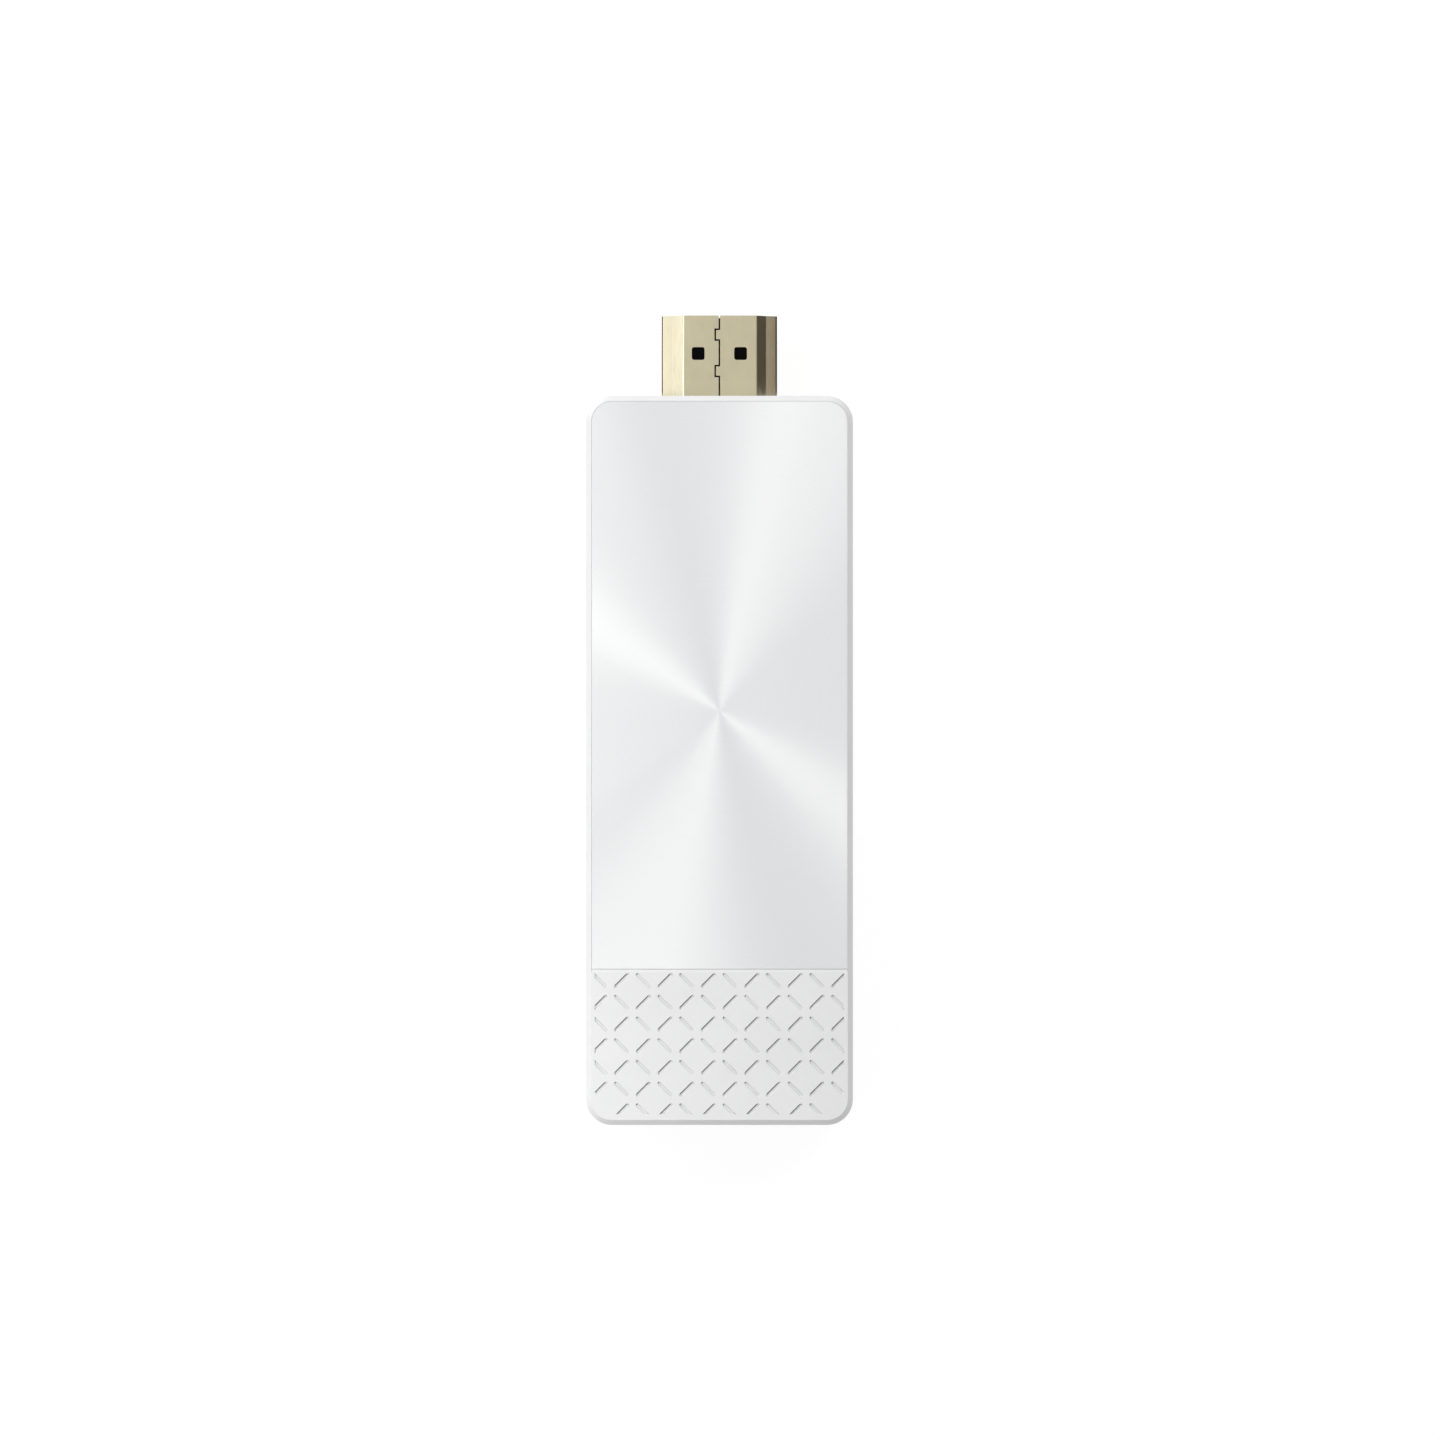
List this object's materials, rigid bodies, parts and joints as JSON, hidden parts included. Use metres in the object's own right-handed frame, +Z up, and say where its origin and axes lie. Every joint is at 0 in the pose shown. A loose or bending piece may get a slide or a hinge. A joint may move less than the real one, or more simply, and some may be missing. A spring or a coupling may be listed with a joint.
{
  "type": "wireless presentation dongle",
  "caption": "Slim wireless display stick with a gilt display plug, spun metal face, lattice-grooved tail, power socket at the tail end and a small reset button on one side.",
  "frame": {"origin": "on the surface the dongle lies on, under the middle of its overall length and width", "axes": "+X across the body towards the button side, +Y out of the display plug, +Z up out of the spun face"},
  "size_m": [0.032, 0.0972, 0.012],
  "materials": {
    "adhesive": "thin transfer tape",
    "black_insulator": "black moulded insulator",
    "button_plastic": "pale grey moulded plastic",
    "can_steel": "nickel-plated crystal can",
    "ceramic_part": "fired ceramic with tinned ends",
    "chip_package": "black moulding compound",
    "circuit_board": "green solder mask over glass laminate",
    "clear_plastic": "clear polycarbonate",
    "contact_metal": "gold-plated contact strip",
    "ferrite_part": "moulded iron powder",
    "gilt_sheet": "pale gold plating on stamped sheet",
    "lamp_part": "white lamp with a clear lens",
    "resistor_part": "black glazed chip with tinned ends",
    "screw_steel": "zinc-plated steel",
    "shell_plastic": "fine satin moulded plastic, white",
    "shield_tin": "tinned steel sheet",
    "snap_steel": "spring steel",
    "socket_steel": "nickel-plated steel sheet",
    "spreader_metal": "plain rolled sheet",
    "spun_metal": "spun in circles and lacquered pearl white",
    "switch_plastic": "black heat-proof plastic",
    "tantalum_part": "yellow moulded capacitor body",
    "thermal_pad": "soft grey-blue thermal gap pad"
  },
  "bodies": {
    "housing": {"antenna_left": "shield_tin", "antenna_right": "shield_tin", "board_screws": "screw_steel", "bottom_cover": "shell_plastic", "bulk_capacitor_1": "tantalum_part", "bulk_capacitor_2": "tantalum_part", "chip_capacitors": "ceramic_part", "chip_resistors": "resistor_part", "crystal": "can_steel", "display_driver_chip": "chip_package", "flash_chip": "chip_package", "heat_spreader": "spreader_metal", "light_pipe": "clear_plastic", "main_board": "circuit_board", "memory_chip_1": "chip_package", "memory_chip_2": "chip_package", "plate_adhesive": "adhesive", "plug_contacts_lower": "contact_metal", "plug_contacts_upper": "contact_metal", "plug_insulator": "black_insulator", "plug_shell": "gilt_sheet", "power_chip": "chip_package", "power_inductor_1": "ferrite_part", "power_inductor_2": "ferrite_part", "radio_board": "circuit_board", "radio_can": "shield_tin", "radio_chip": "chip_package", "shield_frame": "shield_tin", "shield_lid": "shield_tin", "socket_contacts": "contact_metal", "socket_shell": "socket_steel", "socket_tongue": "black_insulator", "spreader_pad": "thermal_pad", "spun_top_plate": "spun_metal", "status_light": "lamp_part", "surge_arrays": "chip_package", "switch_body": "switch_plastic", "switch_frame": "socket_steel", "switch_snap_plate": "snap_steel", "system_chip": "chip_package", "system_chip_pad": "thermal_pad", "top_cover": "shell_plastic"},
    "reset_key": {"reset_button": "button_plastic", "switch_plunger": "switch_plastic"}
  },
  "joints": [
    {"name": "reset_press", "type": "slide", "parent": "housing", "child": "reset_key", "axis": [-1, 0, 0], "range_m": [0, 0.00025], "stiffness_N_per_m": 4000, "deforming": ["switch_snap_plate"]}
  ]
}
